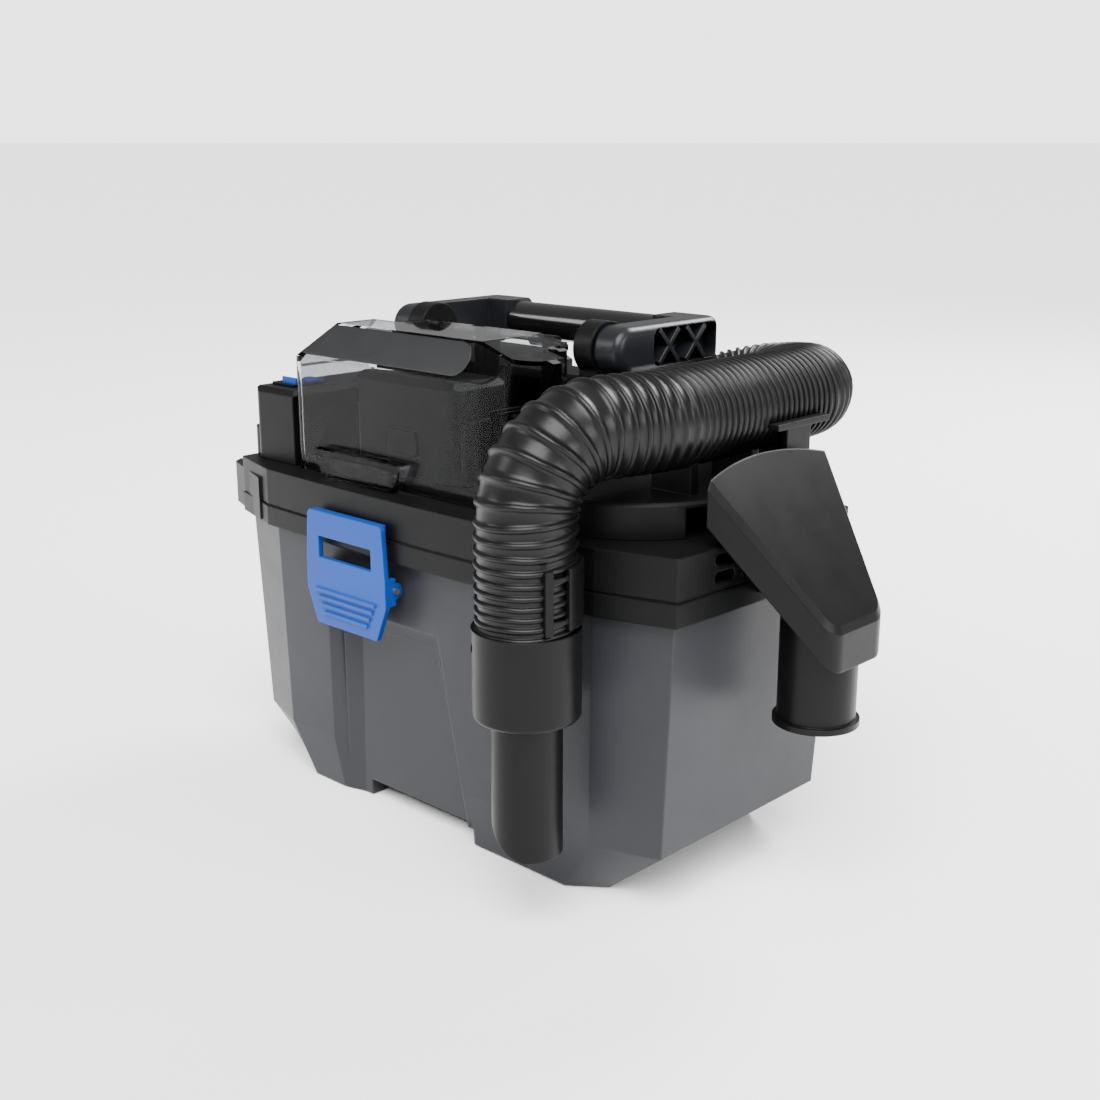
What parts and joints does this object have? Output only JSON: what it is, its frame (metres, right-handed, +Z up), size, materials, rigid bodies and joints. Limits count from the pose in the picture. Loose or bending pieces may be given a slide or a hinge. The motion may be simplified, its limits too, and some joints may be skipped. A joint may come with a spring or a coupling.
{
  "type": "shop vacuum",
  "caption": "Compact cordless wet and dry vacuum: tapered tank, latched lid, clear battery cover, folding handle, ribbed hose with crevice tool, and a wide nozzle stored on the side",
  "frame": {"origin": "bottom centre of the tank, on the floor", "axes": "+X to the side that stores the nozzle, -Y out of the latch face, +Z up"},
  "size_m": [0.405, 0.2665, 0.276],
  "materials": {
    "aluminium": "cast",
    "black_plastic": "fine grained",
    "blue_plastic": "satin",
    "board": "coated",
    "clear_cover": "smoky clear",
    "filter_paper": "pleated",
    "float_white": "matt",
    "gloss_black": "glossy",
    "grey_plastic": "satin",
    "rubber": "matt",
    "steel": "turned",
    "tank_plastic": "satin"
  },
  "bodies": {
    "vacuum": {"tank": "tank_plastic", "rubber_feet": "rubber", "tank_seal": "rubber", "lid_rim": "black_plastic", "left_console": "black_plastic", "switch_bezel": "black_plastic", "board_standoffs": "black_plastic", "circuit_board": "board", "head_housing": "black_plastic", "cover_hinge_pin": "steel", "handle_bosses": "black_plastic", "housing_screws": "steel", "fan_housing": "black_plastic", "motor": "steel", "motor_bearings": "steel", "filter_cage": "black_plastic", "filter_sleeve": "filter_paper", "filter_clamp": "black_plastic", "battery_bay": "black_plastic", "battery_pack": "black_plastic", "battery_terminals": "steel", "cover_catch": "black_plastic", "latch_pins": "steel", "handle_pins": "steel", "hose_deck": "black_plastic", "side_hose_clip": "black_plastic", "hose_tie_ring": "black_plastic", "inlet_elbow": "black_plastic", "inlet_deflector": "black_plastic", "hose": "rubber", "hose_cuff": "black_plastic", "crevice_tool": "black_plastic", "front_hose_clip": "black_plastic", "nozzle_head": "black_plastic", "nozzle_tube": "black_plastic", "nozzle_bracket": "black_plastic"},
    "cover": {"battery_cover": "clear_cover", "label_plate": "grey_plastic"},
    "handle": {"handle_arm_left": "grey_plastic", "handle_arm_right": "grey_plastic", "handle_grip": "gloss_black"},
    "front_latch_body": {"front_latch": "blue_plastic"},
    "rear_latch_body": {"rear_latch": "blue_plastic"},
    "switch": {"power_switch": "blue_plastic"},
    "fan": {"impeller": "aluminium", "motor_shaft": "steel"},
    "float": {"float_ball": "float_white"},
    "release": {"battery_button": "black_plastic"}
  },
  "joints": [
    {"name": "cover_hinge", "type": "hinge", "parent": "vacuum", "child": "cover", "pos_m": [0, -0.009, 0.263], "axis": [-1, 0, 0], "range_deg": [0, 65]},
    {"name": "handle_fold", "type": "hinge", "parent": "vacuum", "child": "handle", "pos_m": [0, 0.001, 0.262], "axis": [1, 0, 0], "range_deg": [0, 90]},
    {"name": "front_latch_flip", "type": "hinge", "parent": "vacuum", "child": "front_latch_body", "pos_m": [-0.045, -0.084, 0.135], "axis": [1, 0, 0], "range_deg": [0, 18]},
    {"name": "rear_latch_flip", "type": "hinge", "parent": "vacuum", "child": "rear_latch_body", "pos_m": [-0.045, 0.084, 0.135], "axis": [-1, 0, 0], "range_deg": [0, 18]},
    {"name": "switch_rock", "type": "hinge", "parent": "vacuum", "child": "switch", "pos_m": [-0.141, -0.042, 0.221], "axis": [1, 0, 0], "range_deg": [0, 14]},
    {"name": "fan_spin", "type": "hinge", "parent": "vacuum", "child": "fan", "pos_m": [-0.068, 0.03, 0.2], "axis": [0, 0, 1], "continuous": true},
    {"name": "float_rise", "type": "slide", "parent": "vacuum", "child": "float", "axis": [0, 0, 1], "range_m": [0, 0.006]},
    {"name": "pack_release", "type": "slide", "parent": "vacuum", "child": "release", "axis": [0, 1, 0], "range_m": [0, 0.002], "stiffness_N_per_m": 800}
  ]
}
